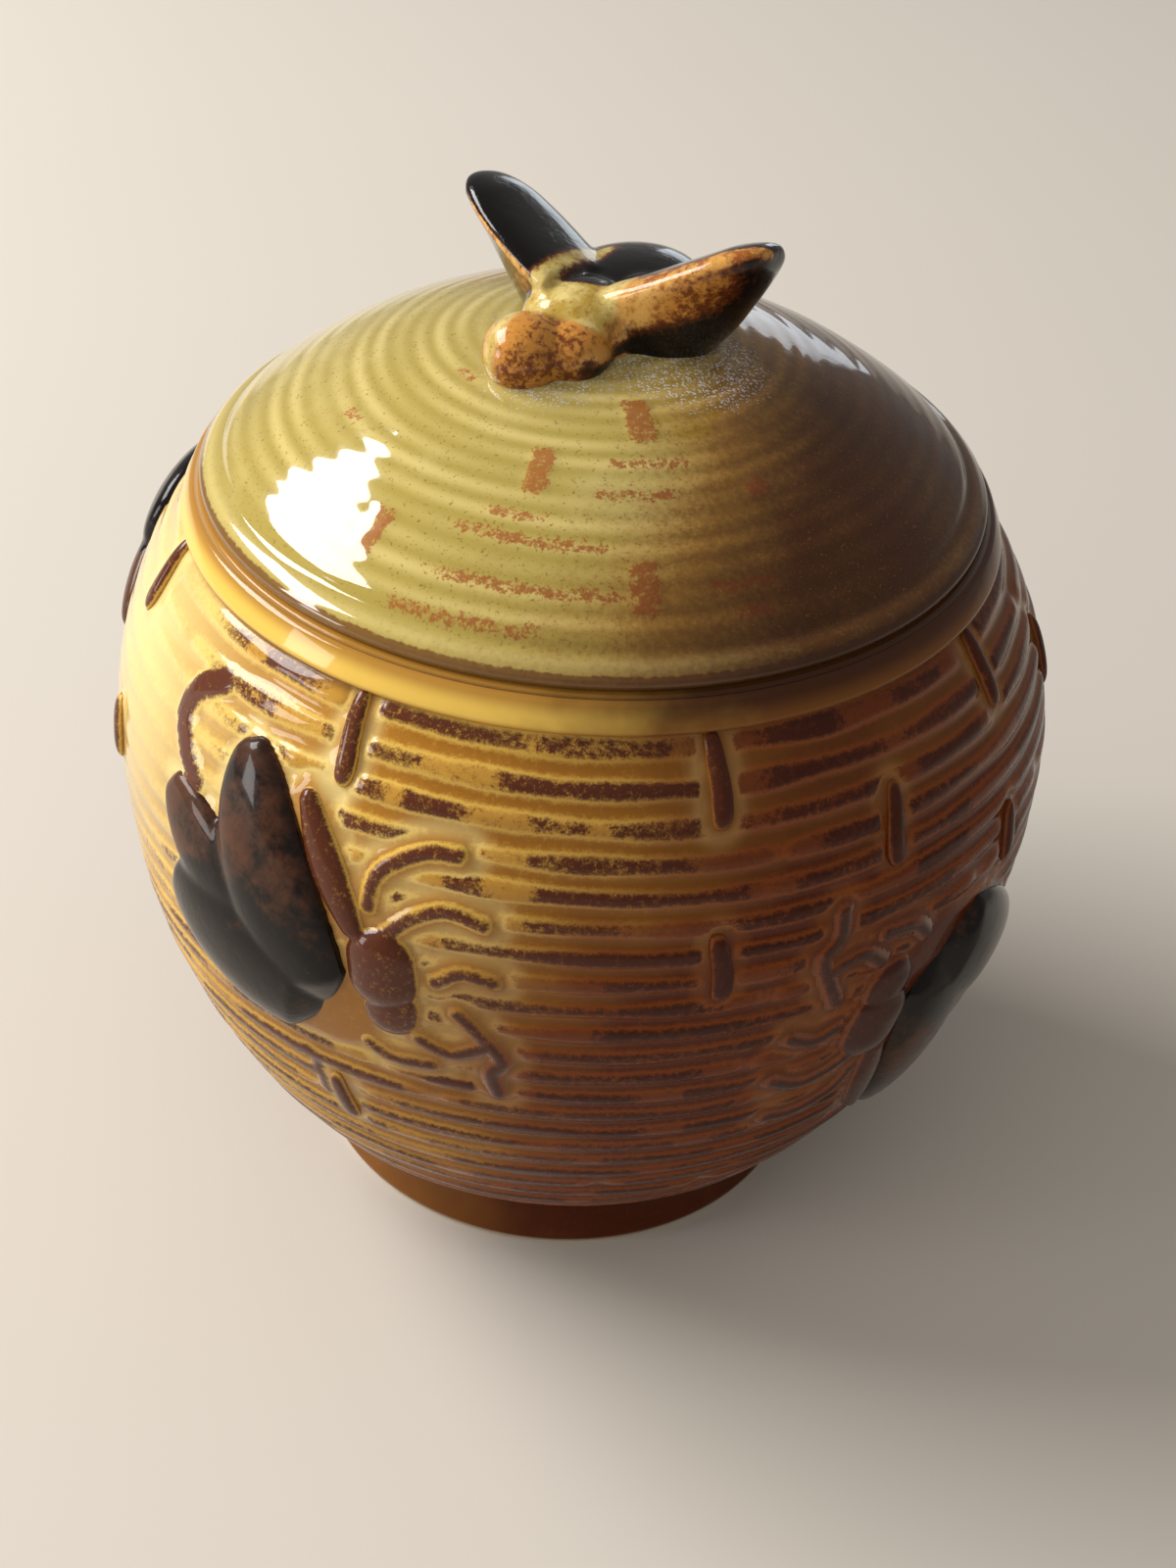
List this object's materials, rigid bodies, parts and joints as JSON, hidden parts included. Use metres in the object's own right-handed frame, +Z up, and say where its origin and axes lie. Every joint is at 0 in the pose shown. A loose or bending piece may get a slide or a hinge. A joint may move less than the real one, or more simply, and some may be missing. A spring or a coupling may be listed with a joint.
{
  "type": "honey pot with lift-off lid",
  "caption": "Round glazed stoneware honey pot shaped as a straw beehive, with raised coils, bees on its wall and a loose domed lid with a bee knob.",
  "frame": {"origin": "middle of the foot, on the plane that the pot stands on", "axes": "+Z up along the pot's axis; -Y is the side that the picture shows"},
  "size_m": [0.1012, 0.1004, 0.1138],
  "materials": {
    "amber_glaze": "glossy amber glaze breaking to speckled brown on the coils",
    "olive_glaze": "glossy olive yellow glaze with fine brown specks",
    "black_glaze": "glossy black-brown glaze",
    "rust_glaze": "glossy speckled rust brown glaze"
  },
  "bodies": {
    "pot": {"pot_body": "amber_glaze", "left_bee_wings": "black_glaze", "left_bee_body": "rust_glaze", "right_bee_wings": "black_glaze", "right_bee_body": "rust_glaze", "rear_bee_wings": "black_glaze", "rear_bee_body": "rust_glaze", "far_bee_wings": "black_glaze", "far_bee_body": "rust_glaze"},
    "lid": {"lid_dome": "olive_glaze", "knob_bee_body": "rust_glaze", "knob_wing_left": "black_glaze", "knob_wing_right": "black_glaze"}
  },
  "joints": [
    {"name": "lid_lift", "type": "slide", "parent": "pot", "child": "lid", "axis": [0, 0, 1], "range_m": [0, 0.06]}
  ]
}
